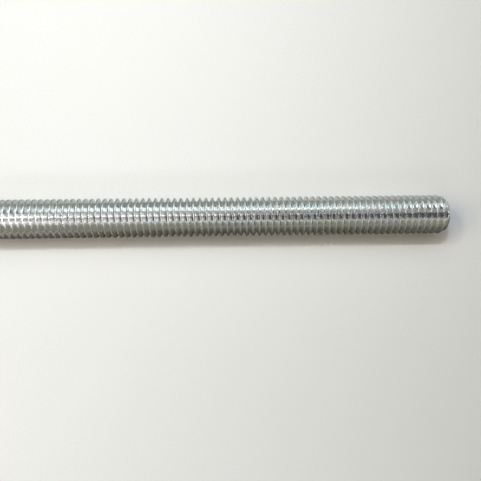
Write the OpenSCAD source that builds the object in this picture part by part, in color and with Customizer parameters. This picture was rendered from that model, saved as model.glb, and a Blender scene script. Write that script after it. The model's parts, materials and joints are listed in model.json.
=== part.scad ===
// Threaded rod: one straight steel rod, threaded along its whole length.
// It lies along X on the plane z = 0, with its middle over the origin.
// The solid is the rod's true envelope: the cylinder over the thread's crests,
// and the lead-in chamfer of each sawn end. The thread groove itself is fine
// surface detail and isn't cut here; its depth sets how deep the chamfers go.
// All lengths are in millimetres.

/* [Thread] */
// Nominal thread diameter, the M number
nominal_d = 8; // [6:0.5:12]
// Distance from one crest to the next, along the rod
pitch = 1.25; // [0.75:0.25:1.75]
// How far the real crests lie under the nominal diameter, across the rod
crest_allowance = 0.2; // [0:0.01:0.3]

/* [Rod] */
// Overall length, end face to end face
rod_length = 150; // [30:5:500]
// How deep the end chamfers cut, as a part of the thread's depth
chamfer_depth = 0.85; // [0.3:0.05:1.2]
// Angle of the end chamfers, from the end face
chamfer_angle = 61.5; // [30:0.5:75]

/* [Hidden] */
$fn = 128;

// Radius over the crests
crest_r = (nominal_d - crest_allowance) / 2;
// Depth of an external 60 degree thread with a rounded root
thread_depth = 0.6134 * pitch;
// The chamfers stop a little short of the root, so each end face is wider than it
chamfer_drop = chamfer_depth * thread_depth;
face_r = crest_r - chamfer_drop;
chamfer_run = chamfer_drop * tan(chamfer_angle);

// Half outline of the rod: radius against distance along the axis
module outline() {
    polygon([
        [0, -rod_length / 2],
        [face_r, -rod_length / 2],
        [crest_r, -rod_length / 2 + chamfer_run],
        [crest_r, rod_length / 2 - chamfer_run],
        [face_r, rod_length / 2],
        [0, rod_length / 2],
    ]);
}

module threaded_rod() {
    color([0.66, 0.68, 0.68])
        translate([0, 0, crest_r])
            rotate([0, 90, 0])
                rotate_extrude()
                    outline();
}

threaded_rod();
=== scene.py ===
import bpy, bmesh, json, math
import numpy as np
from mathutils import Matrix, Vector


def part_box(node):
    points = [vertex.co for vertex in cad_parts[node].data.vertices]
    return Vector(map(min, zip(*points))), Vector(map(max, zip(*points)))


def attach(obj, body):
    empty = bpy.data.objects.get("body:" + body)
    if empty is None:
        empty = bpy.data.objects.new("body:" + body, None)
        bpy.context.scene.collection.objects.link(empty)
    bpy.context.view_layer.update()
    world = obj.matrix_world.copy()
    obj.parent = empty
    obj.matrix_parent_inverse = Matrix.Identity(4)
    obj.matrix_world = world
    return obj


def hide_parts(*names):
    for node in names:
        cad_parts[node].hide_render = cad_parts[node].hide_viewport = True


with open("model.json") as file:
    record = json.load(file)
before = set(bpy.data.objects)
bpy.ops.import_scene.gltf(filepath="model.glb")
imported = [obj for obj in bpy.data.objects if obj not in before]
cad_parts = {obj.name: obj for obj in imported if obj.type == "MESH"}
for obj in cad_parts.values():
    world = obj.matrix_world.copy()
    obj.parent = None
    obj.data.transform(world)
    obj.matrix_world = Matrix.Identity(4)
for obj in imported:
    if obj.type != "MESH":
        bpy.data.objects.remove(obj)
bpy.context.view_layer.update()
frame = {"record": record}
scene = bpy.context.scene

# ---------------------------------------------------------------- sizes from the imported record
REC = frame["record"]
lo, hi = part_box("threaded_rod")
PIN = [m for m in REC["mounts"] if m["name"] == "thread_end_pos_x"][0]
CREST_R = min(PIN["dims"]["r_mm"] / 1000.0, (hi.z - lo.z) / 2)
AXIS_Z = (hi.z + lo.z) / 2
X_END = hi.x
LENGTH = hi.x - lo.x
CH_RUN, CH_DROP = 0.0012, 0.00065      # end chamfer: along the rod, and on the radius
PITCH = 0.00125
DEPTH = 0.6134 * PITCH
SKIN_R = min(CREST_R, hi.y, -lo.y) - 1e-6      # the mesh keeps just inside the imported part's box

# ---------------------------------------------------------------- how the view is set
F_PX = 480.919            # focal length in pixels of a 481 pixel frame
CAM_D = 24.736 * CREST_R  # camera to rod axis
YAW, TILT, ROLL = 0.029992, 0.049697, 0.01182
PSI = TILT                # the camera's place round the rod, from straight above towards -Y
CREST_X0 = 10.94036       # crest 0 on the side facing the camera, in crest radii from the camera's foot
END_X = 11.305            # end face, in the same measure
X_SHIFT = X_END - END_X * CREST_R


def crest_phase():
    """x of a crest line at the angle 0 about +X (the +Y side), right-hand thread"""
    # a point at angle a from straight up, towards +Y, is at theta = 90 degrees - a about +X
    a = math.pi / 2
    return X_SHIFT + CREST_R * CREST_X0 - PITCH * (a + PSI) / (2 * math.pi)


# ---------------------------------------------------------------- thread mesh
def profile():
    """(u, depth) over one pitch from a crest's centre: a crest with rounded corners, straight 30 degree flanks, a round root."""
    t30 = math.tan(math.radians(30))
    half = PITCH / 10
    rc = 0.00005
    tl = rc * t30
    side = [
        (half - tl, 0.0),
        (half - tl + rc * math.sin(math.radians(30)), rc * (1 - math.cos(math.radians(30)))),
        (half + tl * 0.5, tl * math.cos(math.radians(30))),
    ]
    rr = 0.08 * PITCH
    arc = []
    for deg in (60, 30, 0):
        a = math.radians(deg)
        arc.append((PITCH / 2 - rr * math.sin(a), DEPTH - rr * (1 - math.cos(a))))
    right = side + arc                       # crest centre -> root centre
    left = [(PITCH - u, d) for u, d in reversed(right[:-1])]
    return right + left                      # one pitch, from just right of the crest to just left of the next


def build_thread(n_cols=72):
    prof = profile()
    k = len(prof)
    turns = int(math.ceil(LENGTH / PITCH)) + 6
    m_count = turns * k
    phase = crest_phase()
    first = phase - PITCH * (math.floor((phase + LENGTH / 2) / PITCH) + 3)
    m = np.arange(m_count)
    u = np.array([q[0] for q in prof])[m % k] + PITCH * (m // k)
    d = np.array([q[1] for q in prof])[m % k]
    rng = np.random.RandomState(11)
    th = 2 * math.pi * np.arange(n_cols) / n_cols
    T, U = np.meshgrid(th, u, indexing="ij")
    _, Dm = np.meshgrid(th, d, indexing="ij")
    X = first + U + PITCH * T / (2 * math.pi)
    # the distance run along the helix, in turns, for slow unevenness that follows the rolling
    run = (m // k)[None, :] + T / (2 * math.pi)
    wob = np.zeros_like(X)
    for _ in range(14):
        f = rng.uniform(0.7, 9.0)
        wob += np.sin(2 * math.pi * f * run + rng.uniform(0, 2 * math.pi)) / (1 + 0.25 * f)
    wob /= np.abs(wob).max()
    crest_w = np.clip(1 - Dm / (0.25 * DEPTH), 0, 1)
    Rr = SKIN_R - Dm - crest_w * (0.004e-3 + 0.004e-3 * wob)
    Y = Rr * np.cos(T)
    Z = Rr * np.sin(T)
    co = np.stack([X, Y, Z + AXIS_Z], -1).reshape(-1, 3)

    def idx(i, mm):
        return i * m_count + mm

    i = np.arange(n_cols - 1)[:, None]
    mm = np.arange(m_count - 1)[None, :]
    q1 = np.stack([idx(i, mm), idx(i, mm + 1), idx(i + 1, mm + 1), idx(i + 1, mm)], -1).reshape(-1, 4)
    mm = np.arange(m_count - 1 - k)
    q2 = np.stack([idx(n_cols - 1, mm), idx(n_cols - 1, mm + 1), idx(0, mm + 1 + k), idx(0, mm + k)], -1)
    quads = np.concatenate([q1, q2])
    verts = co.tolist()
    faces = quads.tolist()
    # close both far ends with a fan, well outside the finished length
    loop_a = [idx(c, 0) for c in range(n_cols)] + [idx(0, s) for s in range(k, 0, -1)]
    verts.append([float(co[idx(0, 0)][0]) - 0.0004, 0.0, AXIS_Z])
    ca = len(verts) - 1
    for a, b in zip(loop_a, loop_a[1:] + loop_a[:1]):
        faces.append([ca, a, b])
    loop_b = [idx(c, m_count - 1) for c in range(n_cols)] + [idx(n_cols - 1, m_count - 1 - s) for s in range(1, k + 1)]
    verts.append([float(co[idx(n_cols - 1, m_count - 1)][0]) + 0.0004, 0.0, AXIS_Z])
    cb = len(verts) - 1
    for a, b in zip(loop_b, loop_b[1:] + loop_b[:1]):
        faces.append([cb, b, a])
    me = bpy.data.meshes.new("thread_long")
    me.from_pydata(verts, [], faces)
    me.validate()
    bm = bmesh.new()
    bm.from_mesh(me)
    bmesh.ops.recalc_face_normals(bm, faces=bm.faces)
    bm.to_mesh(me)
    bm.free()
    return me


def build_envelope(n_cols=72):
    """the blank that the thread is cut to: flat sawn faces, a small broken edge, long chamfers"""
    r_face = CREST_R - CH_DROP
    over = 0.2                          # the cone runs on past the crests, so that only the chamfers and faces cut
    e = 0.0001                          # broken edge at the face
    xe = LENGTH / 2
    slope = CH_DROP / CH_RUN
    ring = [
        (xe, r_face - e),
        (xe - 0.3 * e, r_face - 0.25 * e),
        (xe - e, r_face + e * slope),
        (xe - CH_RUN * (1 + over), r_face + CH_DROP * (1 + over)),
    ]
    prof = [(-x, r) for x, r in ring] + [(x, r) for x, r in reversed(ring)]
    verts, faces = [], []
    for x, r in prof:
        for c in range(n_cols):
            a = 2 * math.pi * c / n_cols
            verts.append((x, r * math.cos(a), r * math.sin(a) + AXIS_Z))
    for s in range(len(prof) - 1):
        for c in range(n_cols):
            c2 = (c + 1) % n_cols
            faces.append((s * n_cols + c, s * n_cols + c2, (s + 1) * n_cols + c2, (s + 1) * n_cols + c))
    faces.append(tuple(range(n_cols)))
    faces.append(tuple((len(prof) - 1) * n_cols + c for c in reversed(range(n_cols))))
    me = bpy.data.meshes.new("blank")
    me.from_pydata(verts, [], faces)
    bm = bmesh.new()
    bm.from_mesh(me)
    bmesh.ops.recalc_face_normals(bm, faces=bm.faces)
    bm.to_mesh(me)
    bm.free()
    return me


def build_rod():
    a = bpy.data.objects.new("thread_long", build_thread())
    b = bpy.data.objects.new("blank", build_envelope())
    scene.collection.objects.link(a)
    scene.collection.objects.link(b)
    mod = a.modifiers.new("cut", "BOOLEAN")
    mod.operation = "INTERSECT"
    mod.solver = "EXACT"
    mod.object = b
    bpy.context.view_layer.update()
    dg = bpy.context.evaluated_depsgraph_get()
    me = bpy.data.meshes.new_from_object(a.evaluated_get(dg))
    me.name = "threaded_rod_mesh"
    bpy.data.objects.remove(a)
    bpy.data.objects.remove(b)
    bm = bmesh.new()
    bm.from_mesh(me)
    bmesh.ops.remove_doubles(bm, verts=bm.verts, dist=1e-7)
    bmesh.ops.recalc_face_normals(bm, faces=bm.faces)
    bm.to_mesh(me)
    bm.free()
    ob = bpy.data.objects.new("threaded_rod_visual", me)
    scene.collection.objects.link(ob)
    me.polygons.foreach_set("use_smooth", [True] * len(me.polygons))
    me.set_sharp_from_angle(angle=math.radians(38))
    wn = ob.modifiers.new("flat_flanks", "WEIGHTED_NORMAL")
    wn.mode = "FACE_AREA"
    wn.weight = 60
    wn.keep_sharp = True
    dg = bpy.context.evaluated_depsgraph_get()
    me2 = bpy.data.meshes.new_from_object(ob.evaluated_get(dg))
    ob.modifiers.clear()
    ob.data = me2
    return ob


import time
_t = time.perf_counter()
rod = build_rod()
print("rod", len(rod.data.vertices), "verts", sum(len(p.vertices) - 2 for p in rod.data.polygons), "tris", round(time.perf_counter() - _t, 1), "s")

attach(rod, "root")
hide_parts("threaded_rod")


# ---------------------------------------------------------------- node helpers
class Nodes:
    """short names for building a node tree"""

    def __init__(self, tree):
        self.t = tree

    def new(self, kind, **props):
        n = self.t.nodes.new(kind)
        for k, v in props.items():
            setattr(n, k, v)
        return n

    def put(self, socket, v):
        if isinstance(v, bpy.types.NodeSocket):
            self.t.links.new(v, socket)
        elif v is not None:
            socket.default_value = v

    def math(self, op, a, b=None, c=None, clamp=False):
        n = self.new("ShaderNodeMath", operation=op, use_clamp=clamp)
        for i, v in enumerate((a, b, c)):
            self.put(n.inputs[i], v)
        return n.outputs[0]

    def ramp(self, v, lo_in, hi_in, lo_out=0.0, hi_out=1.0, smooth=True):
        n = self.new("ShaderNodeMapRange", interpolation_type="SMOOTHSTEP" if smooth else "LINEAR")
        n.clamp = True
        for i, x in enumerate((v, lo_in, hi_in, lo_out, hi_out)):
            self.put(n.inputs[i], x)
        return n.outputs[0]

    def xyz(self, x, y, z):
        n = self.new("ShaderNodeCombineXYZ")
        for i, v in enumerate((x, y, z)):
            self.put(n.inputs[i], v)
        return n.outputs[0]

    def split(self, v):
        n = self.new("ShaderNodeSeparateXYZ")
        self.put(n.inputs[0], v)
        return n.outputs

    def noise(self, vec, scale, detail=2.0, rough=0.5):
        n = self.new("ShaderNodeTexNoise", noise_dimensions="3D")
        self.put(n.inputs["Vector"], vec)
        n.inputs["Scale"].default_value = scale
        n.inputs["Detail"].default_value = detail
        n.inputs["Roughness"].default_value = rough
        return n.outputs["Fac"]

    def mix(self, fac, a, b, blend="MIX"):
        n = self.new("ShaderNodeMix", data_type="RGBA", blend_type=blend)
        n.clamp_factor = True
        self.put(n.inputs[0], fac)
        self.put(n.inputs[6], a)
        self.put(n.inputs[7], b)
        return n.outputs[2]


# ---------------------------------------------------------------- zinc plated steel
F_CREST = (0.595, 0.603, 0.606, 1)      # crests: dulled by rolling and handling
F_FLANK = (0.715, 0.722, 0.72, 1)
F_ROOT = (0.69, 0.695, 0.685, 1)
F_FACE = (0.60, 0.605, 0.60, 1)
ROUGH_CREST, ROUGH_FLANK = 0.23, 0.11


def zinc():
    mat = bpy.data.materials.new("zinc_plated_steel")
    mat.use_nodes = True
    nt = mat.node_tree
    bsdf = nt.nodes["Principled BSDF"]
    g = Nodes(nt)
    obj = g.new("ShaderNodeTexCoord").outputs["Object"]
    x, y, z0 = g.split(obj)
    z = g.math("SUBTRACT", z0, AXIS_Z)
    r = g.math("SQRT", g.math("ADD", g.math("MULTIPLY", y, y), g.math("MULTIPLY", z, z)))
    depth = g.math("DIVIDE", g.math("SUBTRACT", CREST_R, r), DEPTH)       # 0 at the crest, 1 at the root
    ax = g.math("ABSOLUTE", x)
    # unit circle coordinates run round the rod without a seam, so noise on them draws along the rolling direction
    cy, cz = g.math("DIVIDE", y, r), g.math("DIVIDE", z, r)
    mm = g.new("ShaderNodeVectorMath", operation="SCALE")
    g.put(mm.inputs[0], obj)
    mm.inputs["Scale"].default_value = 1000.0
    mm = mm.outputs[0]
    x_mm = g.math("MULTIPLY", x, 1000.0)
    r_mm = g.math("MULTIPLY", r, 1000.0)

    roll = g.noise(g.xyz(g.math("MULTIPLY", x_mm, 9.0), g.math("MULTIPLY", cy, 1.3), g.math("MULTIPLY", cz, 1.3)), 1.0, 3.0, 0.6)
    fine = g.noise(mm, 9.0, 2.0, 0.6)          # 0.1 mm grain of the plating
    mott = g.noise(mm, 1.6, 3.0, 0.55)         # 0.6 mm mottling, thread to thread
    cloud = g.noise(mm, 0.16, 2.0, 0.5)        # 6 mm clouds along the rod

    crest = g.ramp(depth, 0.05, 0.15, 1.0, 0.0)
    root = g.ramp(depth, 0.5, 1.0)
    # roots get a little darker colour than the flanks
    col = g.mix(root, F_FLANK, F_ROOT)
    col = g.mix(crest, col, F_CREST)
    # mottled, darker, greyish and slightly warm colour in the roots that thins towards the crests
    root_darkening = g.math("MULTIPLY", root, g.ramp(mott, 0.42, 0.68))
    col = g.mix(g.math("MULTIPLY", root_darkening, 0.35), col, (0.50, 0.49, 0.46, 1))
    # clouds from faint blue to faint straw, as bright zinc has
    col = g.mix(g.ramp(cloud, 0.35, 0.65, 0.0, 0.2), col, (0.68, 0.66, 0.61, 1))
    col = g.mix(g.ramp(cloud, 0.4, 0.25, 0.0, 0.2), col, (0.60, 0.65, 0.70, 1))
    # rolling streaks
    tone = g.ramp(roll, 0.25, 0.75, 0.92, 1.06, smooth=False)
    tv = g.new("ShaderNodeCombineColor")
    for i in range(3):
        g.put(tv.inputs[i], tone)
    col = g.mix(1.0, col, tv.outputs[0], "MULTIPLY")
    # small dull spots
    spots = g.ramp(g.noise(mm, 2.7, 1.0, 0.5), 0.7, 0.76)
    col = g.mix(g.math("MULTIPLY", spots, 0.35), col, (0.46, 0.455, 0.44, 1))

    # sawn end faces
    face = g.math("MULTIPLY", g.ramp(ax, LENGTH / 2 - 0.00012, LENGTH / 2 - 0.00002), 1.0)
    saw = g.noise(g.xyz(g.math("MULTIPLY", g.math("ADD", y, g.math("MULTIPLY", z, 0.18)), 14000.0),
                        g.math("MULTIPLY", z, 450.0), g.math("MULTIPLY", x, 300.0)), 1.0, 2.0, 0.55)
    face_col = g.mix(g.ramp(saw, 0.3, 0.7), (0.52, 0.53, 0.53, 1), F_FACE)
    col = g.mix(face, col, face_col)
    nt.links.new(col, bsdf.inputs["Base Color"])
    bsdf.inputs["Metallic"].default_value = 1.0

    ro = g.math("ADD", ROUGH_FLANK, g.math("MULTIPLY", crest, ROUGH_CREST - ROUGH_FLANK))
    ro = g.math("ADD", ro, g.ramp(mott, 0.35, 0.7, -0.03, 0.06))
    ro = g.math("ADD", ro, g.ramp(roll, 0.3, 0.7, -0.03, 0.04))
    ro = g.math("ADD", ro, g.math("MULTIPLY", spots, 0.2))
    ro = g.math("ADD", ro, g.math("MULTIPLY", face, 0.17), clamp=True)
    nt.links.new(ro, bsdf.inputs["Roughness"])

    # relief in millimetres: plating grain, rolling lines, dents along the crests, saw lines
    h = g.math("MULTIPLY", g.math("SUBTRACT", fine, 0.5), 0.0006)
    h = g.math("ADD", h, g.math("MULTIPLY", g.math("SUBTRACT", roll, 0.5), 0.002))
    h = g.math("ADD", h, g.math("MULTIPLY", g.math("SUBTRACT", mott, 0.5), 0.004))
    h = g.math("ADD", h, g.math("MULTIPLY", g.math("MULTIPLY", g.math("SUBTRACT", saw, 0.5), face), 0.03))
    bump = g.new("ShaderNodeBump")
    bump.inputs["Strength"].default_value = 1.0
    bump.inputs["Distance"].default_value = 0.001
    g.put(bump.inputs["Height"], h)
    nt.links.new(bump.outputs[0], bsdf.inputs["Normal"])
    return mat


rod.data.materials.clear()
rod.data.materials.append(zinc())


# ---------------------------------------------------------------- floor
def floor():
    me = bpy.data.meshes.new("floor")
    s = 2.0
    me.from_pydata([(-s, -s, 0), (s, -s, 0), (s, s, 0), (-s, s, 0)], [], [(0, 1, 2, 3)])
    ob = bpy.data.objects.new("floor", me)
    scene.collection.objects.link(ob)
    mat = bpy.data.materials.new("pale_floor")
    mat.use_nodes = True
    nt = mat.node_tree
    b = nt.nodes["Principled BSDF"]
    g = Nodes(nt)
    mm = g.new("ShaderNodeVectorMath", operation="SCALE")
    g.put(mm.inputs[0], g.new("ShaderNodeTexCoord").outputs["Object"])
    mm.inputs["Scale"].default_value = 1000.0
    grain = g.ramp(g.noise(mm.outputs[0], 2.2, 2.0, 0.6), 0.3, 0.7, smooth=False)      # faint tooth of the paper, half a millimetre
    cloud = g.ramp(g.noise(mm.outputs[0], 0.03, 2.0, 0.5), 0.35, 0.65)
    col = g.mix(grain, (0.728, 0.722, 0.730, 1), (0.764, 0.758, 0.766, 1))
    col = g.mix(g.math("MULTIPLY", cloud, 0.5), col, (0.752, 0.744, 0.742, 1))
    g.put(b.inputs["Base Color"], col)
    b.inputs["Roughness"].default_value = 0.9
    b.inputs["Specular IOR Level"].default_value = 0.0
    me.materials.append(mat)
    ob.visible_glossy = False
    return ob


floor()

# ---------------------------------------------------------------- light
# The table is lit by soft lights that only matte surfaces take. Bright metal mirrors the room
# instead: a window and walls far off (the world), and lamps and ceiling close above (panels).
scene.view_settings.view_transform = "Standard"
FOOT = Vector((X_SHIFT, 0, 0))
PANEL_Z = AXIS_Z + CAM_D * math.cos(PSI) + 0.0015


def toward(alpha, beta):
    """unit direction: alpha from straight up towards +Y, beta out of that plane towards +X, degrees"""
    a, b = math.radians(alpha), math.radians(beta)
    return Vector((math.sin(b), math.cos(b) * math.sin(a), math.cos(b) * math.cos(a)))


def soft(name, alpha, beta, color, dist=1.0, size=0.55):
    """broad light for the table and its shadow only"""
    z = toward(alpha, beta)
    xax = (Vector((1, 0, 0)) - z * z.x).normalized()
    return table_light(name, FOOT + z * dist, Matrix((xax, z.cross(xax), z)).transposed(), color, size, 10 * dist * dist)


def table_light(name, where, turn, color, size, energy):
    li = bpy.data.lights.new(name, "AREA")
    li.shape = "SQUARE"
    li.size = size
    li.energy = energy
    li.color = color
    ob = bpy.data.objects.new(name, li)
    scene.collection.objects.link(ob)
    ob.matrix_world = Matrix.Translation(where) @ turn.to_4x4()
    ob.visible_glossy = False
    ob.visible_camera = False
    return ob


def panel(name, x0, x1, y0, y1, radiance):
    """bright patch close above, seen in the metal only and adding to what lies behind it; millimetres from the camera's foot"""
    me = bpy.data.meshes.new(name)
    me.from_pydata([(X_SHIFT + x / 1000, y / 1000, PANEL_Z) for x, y in ((x0, y0), (x0, y1), (x1, y1), (x1, y0))], [], [(0, 1, 2, 3)])
    ob = bpy.data.objects.new(name, me)
    scene.collection.objects.link(ob)
    mat = bpy.data.materials.new(name)
    mat.use_nodes = True
    mat.cycles.emission_sampling = "NONE"
    nt = mat.node_tree
    nt.nodes.clear()
    em = nt.nodes.new("ShaderNodeEmission")
    em.inputs["Strength"].default_value = radiance
    both = nt.nodes.new("ShaderNodeAddShader")
    end = nt.nodes.new("ShaderNodeOutputMaterial")
    nt.links.new(em.outputs[0], both.inputs[0])
    nt.links.new(nt.nodes.new("ShaderNodeBsdfTransparent").outputs[0], both.inputs[1])
    nt.links.new(both.outputs[0], end.inputs[0])
    me.materials.append(mat)
    ob.visible_camera = False
    ob.visible_diffuse = False
    ob.visible_shadow = False


# lamps close above the table: the two small ones beside the camera cast the toothed edge of the shadow
for name, x, y, z, size, col in [
    ("table_key", -1, 53, 120, 5, (0.36, 0.36, 0.36)), ("table_left", -55, 53, 120, 5, (0.33, 0.33, 0.33)),
    ("table_far_left", -85, 30, 130, 40, (0.14, 0.15, 0.17)), ("table_near_left", -60, -50, 60, 20, (0.066, 0.064, 0.063)),
    ("table_near", 0, -110, 100, 40, (0.20, 0.205, 0.225)),
]:
    table_light(name, FOOT + Vector((x, y, z)) / 1000, Matrix.Identity(3), col, size / 1000, 10 * 0.12 * 0.12)
for i, (al, be, col) in enumerate([
    (-75, 0, (0.049, 0.048, 0.042)), (0, -50, (0.31, 0.21, 0.085)), (25, -30, (0.065, 0.118, 0.104)),
    (38, -15, (0.245, 0.250, 0.265)), (38, 15, (0.107, 0.104, 0.110)), (12, -60, (0.095, 0.150, 0.150)),
]):
    soft("table_%d" % i, al, be, col)

for i, (x0, x1, y0, y1, v) in enumerate([
    (-150, -90, -60, -28, 6.9), (-150, -90, -28, 9, 5.7), (-150, -90, 9, 28, 16.0), (-150, -90, 28, 60, 3.9),
    (-58, -34, -60, -28, 1.6), (-58, -34, -28, -9, 1.05), (-58, -34, -9, 9, 0.68), (-58, -34, 9, 28, 2.7), (-58, -34, 28, 60, 1.35),
    (-34, -22, -60, -9, 2.7), (-34, -22, -9, 9, 1.8), (-34, -22, 9, 28, 3.4),
    (-22, 34, 30, 60, 0.6), (34, 130, 12, 60, 0.56), (-22, 130, -60, -42, 0.28), (-22, 130, -42, 12, 0.12),
]):
    panel("panel_%d" % i, x0, x1, y0, y1, v)

# Far room by direction. Rows go round the rod from straight up towards +Y (degrees), each up to its
# first number; inside a row the spans go along the rod from -X to +X, each up to its first number.
DARK = (0, 0, 0)
ROOM = [
    (-80, [(90, (0.43, 0.43, 0.35))]),
    (-62, [(-45, (0.60, 0.69, 0.66)), (-20, (0.18, 0.19, 0.13)), (20, (0.40, 0.39, 0.33)), (45, (0.43, 0.42, 0.36)), (90, (1.45, 1.35, 1.35))]),
    (-44, [(-45, DARK), (-20, (0.25, 0.27, 0.22)), (20, (0.45, 0.46, 0.40)), (45, (0.54, 0.55, 0.47)), (90, (1.02, 1.07, 0.95))]),
    (-32, [(-45, DARK), (-20, (0.71, 0.73, 0.66)), (20, (0.75, 0.76, 0.72)), (45, (1.30, 1.32, 1.21)), (90, (5.6, 5.6, 5.6))]),
    (32, [(90, DARK)]),
    (46, [(-56, (1.35, 1.35, 1.35)), (-30, (0.36, 0.45, 0.41)), (-5, (0.68, 0.80, 0.80)), (5, (0.09, 0.12, 0.13)), (30, (0.83, 0.92, 0.89)), (56, (0.66, 0.89, 0.87)), (90, (2.4, 2.5, 2.5))]),
    (60, [(-56, DARK), (-30, (4.7, 4.75, 4.75)), (-5, (2.25, 2.36, 2.36)), (5, (0.08, 0.19, 0.18)), (30, (1.80, 1.95, 1.94)), (56, DARK), (90, (3.3, 2.9, 2.9))]),
    (74, [(-68, DARK), (-56, (13, 13, 13)), (-30, DARK), (-5, (2.10, 2.35, 2.35)), (5, (0.64, 0.72, 0.75)), (30, (0.96, 1.10, 1.10)), (56, DARK), (90, (0.8, 1.1, 1.2))]),
    (180, [(-56, (2.0, 2.2, 2.25)), (-30, DARK), (-5, (0.40, 0.48, 0.50)), (30, (0.88, 0.97, 0.94)), (90, DARK)]),
]


def room():
    world = bpy.data.worlds.new("room")
    scene.world = world
    world.use_nodes = True
    nt = world.node_tree
    nt.nodes.clear()
    g = Nodes(nt)
    x, y, z = g.split(g.new("ShaderNodeTexCoord").outputs["Generated"])
    alpha = g.math("DEGREES", g.math("ARCTAN2", y, z))
    beta = g.math("DEGREES", g.math("ARCSINE", x))

    def join(v, spans, soft_edge):
        out = spans[0][1]
        for (edge, _), (_, nxt) in zip(spans, spans[1:]):
            out = g.mix(g.ramp(v, edge - soft_edge, edge + soft_edge), out, nxt)
        return out

    rows = [(edge, join(beta, [(e, tuple(c) + (1,)) for e, c in spans], 2.0)) for edge, spans in ROOM]
    bg = g.new("ShaderNodeBackground")
    g.put(bg.inputs["Color"], join(alpha, rows, 1.5))
    bg.inputs["Strength"].default_value = 1.0
    end = g.new("ShaderNodeOutputWorld")
    nt.links.new(bg.outputs[0], end.inputs[0])
    world.cycles_visibility.diffuse = False
    world.cycles.sampling_method = "NONE"


def backdrop():
    """pale dome far behind everything, for low camera angles only"""
    me = bpy.data.meshes.new("backdrop")
    bm = bmesh.new()
    bmesh.ops.create_uvsphere(bm, u_segments=48, v_segments=24, radius=0.75)
    bm.to_mesh(me)
    bm.free()
    ob = bpy.data.objects.new("backdrop", me)
    scene.collection.objects.link(ob)
    mat = bpy.data.materials.new("backdrop")
    mat.use_nodes = True
    mat.cycles.emission_sampling = "NONE"
    nt = mat.node_tree
    nt.nodes.clear()
    g = Nodes(nt)
    _, _, z = g.split(g.new("ShaderNodeTexCoord").outputs["Object"])
    em = g.new("ShaderNodeEmission")
    g.put(em.inputs["Color"], g.mix(g.ramp(z, 0.0, 0.8), (0.42, 0.42, 0.41, 1), (0.62, 0.62, 0.61, 1)))
    end = g.new("ShaderNodeOutputMaterial")
    nt.links.new(em.outputs[0], end.inputs[0])
    me.materials.append(mat)
    ob.visible_glossy = False
    ob.visible_diffuse = False
    ob.visible_shadow = False


def table_card():
    """glowing card with the table's reflection painted on it: dim on the near side, brighter towards the window, with
    the rod's shadow painted as a dark strip along its near side; not seen directly
    """
    me = bpy.data.meshes.new("table_card")
    s, z = 0.5, 0.00001
    me.from_pydata([(X_SHIFT - s, -s, z), (X_SHIFT + s, -s, z), (X_SHIFT + s, s, z), (X_SHIFT - s, s, z)], [], [(0, 1, 2, 3)])
    ob = bpy.data.objects.new("table_card", me)
    scene.collection.objects.link(ob)
    mat = bpy.data.materials.new("table_card")
    mat.use_nodes = True
    mat.cycles.emission_sampling = "NONE"
    nt = mat.node_tree
    nt.nodes.clear()
    g = Nodes(nt)
    x, y, z = g.split(g.new("ShaderNodeTexCoord").outputs["Object"])
    y_mm = g.math("MULTIPLY", y, 1000.0)
    x_mm = g.math("MULTIPLY", g.math("SUBTRACT", x, X_SHIFT), 1000.0)
    left = g.ramp(x_mm, -35, -10, 1.0, 0.0)
    near = g.mix(left, (0.17, 0.17, 0.14, 1), (0.36, 0.33, 0.28, 1))
    mid = g.mix(left, (0.31, 0.31, 0.25, 1), (0.86, 0.78, 0.69, 1))
    out = (0.15, 0.14, 0.13, 1)
    # bands across the rod in millimetres: painted reflection of the table, with the rod's painted shadow from -10 to 0
    for edge, soft_edge, nxt in [
        (-60, 8, mid), (-25, 4, near), (-10, 1.5, (0.13, 0.12, 0.10, 1)), (-5, 0.8, (0.04, 0.04, 0.015, 1)),
        (0, 0.4, (0.60, 0.68, 0.59, 1)), (5, 0.8, (0.57, 0.58, 0.54, 1)), (10, 1.5, (0.35, 0.37, 0.35, 1)),
        (25, 4, (0.74, 0.82, 0.80, 1)), (60, 8, (0.0, 0.0, 0.0, 1)),
    ]:
        out = g.mix(g.ramp(y_mm, edge - soft_edge, edge + soft_edge), out, nxt)
    em = g.new("ShaderNodeEmission")
    g.put(em.inputs["Color"], out)
    end = g.new("ShaderNodeOutputMaterial")
    nt.links.new(em.outputs[0], end.inputs[0])
    me.materials.append(mat)
    ob.visible_camera = False
    ob.visible_diffuse = False
    ob.visible_shadow = False


room()
backdrop()
table_card()

# ---------------------------------------------------------------- camera
def camera():
    cd = bpy.data.cameras.new("camera")
    cd.sensor_fit = "HORIZONTAL"
    cd.sensor_width = 36.0
    cd.lens = 36.0 * F_PX / 481.0
    cd.clip_start = 0.005
    ob = bpy.data.objects.new("camera", cd)
    scene.collection.objects.link(ob)
    cy, sy, ct, st, cr, sr = math.cos(YAW), math.sin(YAW), math.cos(TILT), math.sin(TILT), math.cos(ROLL), math.sin(ROLL)
    Ry = Matrix(((cy, 0, sy), (0, 1, 0), (-sy, 0, cy)))
    Rx = Matrix(((1, 0, 0), (0, ct, -st), (0, st, ct)))
    Rz = Matrix(((cr, -sr, 0), (sr, cr, 0), (0, 0, 1)))
    world_to_cam = Rz @ Rx @ Ry
    A = Matrix(((1, 0, 0), (0, math.cos(PSI), -math.sin(PSI)), (0, math.sin(PSI), math.cos(PSI))))
    M = (A @ world_to_cam.transposed()).to_4x4()
    M.translation = Vector((X_SHIFT, 0, AXIS_Z)) + A @ Vector((0, 0, CAM_D))
    ob.matrix_world = M
    scene.camera = ob
    return ob


camera()
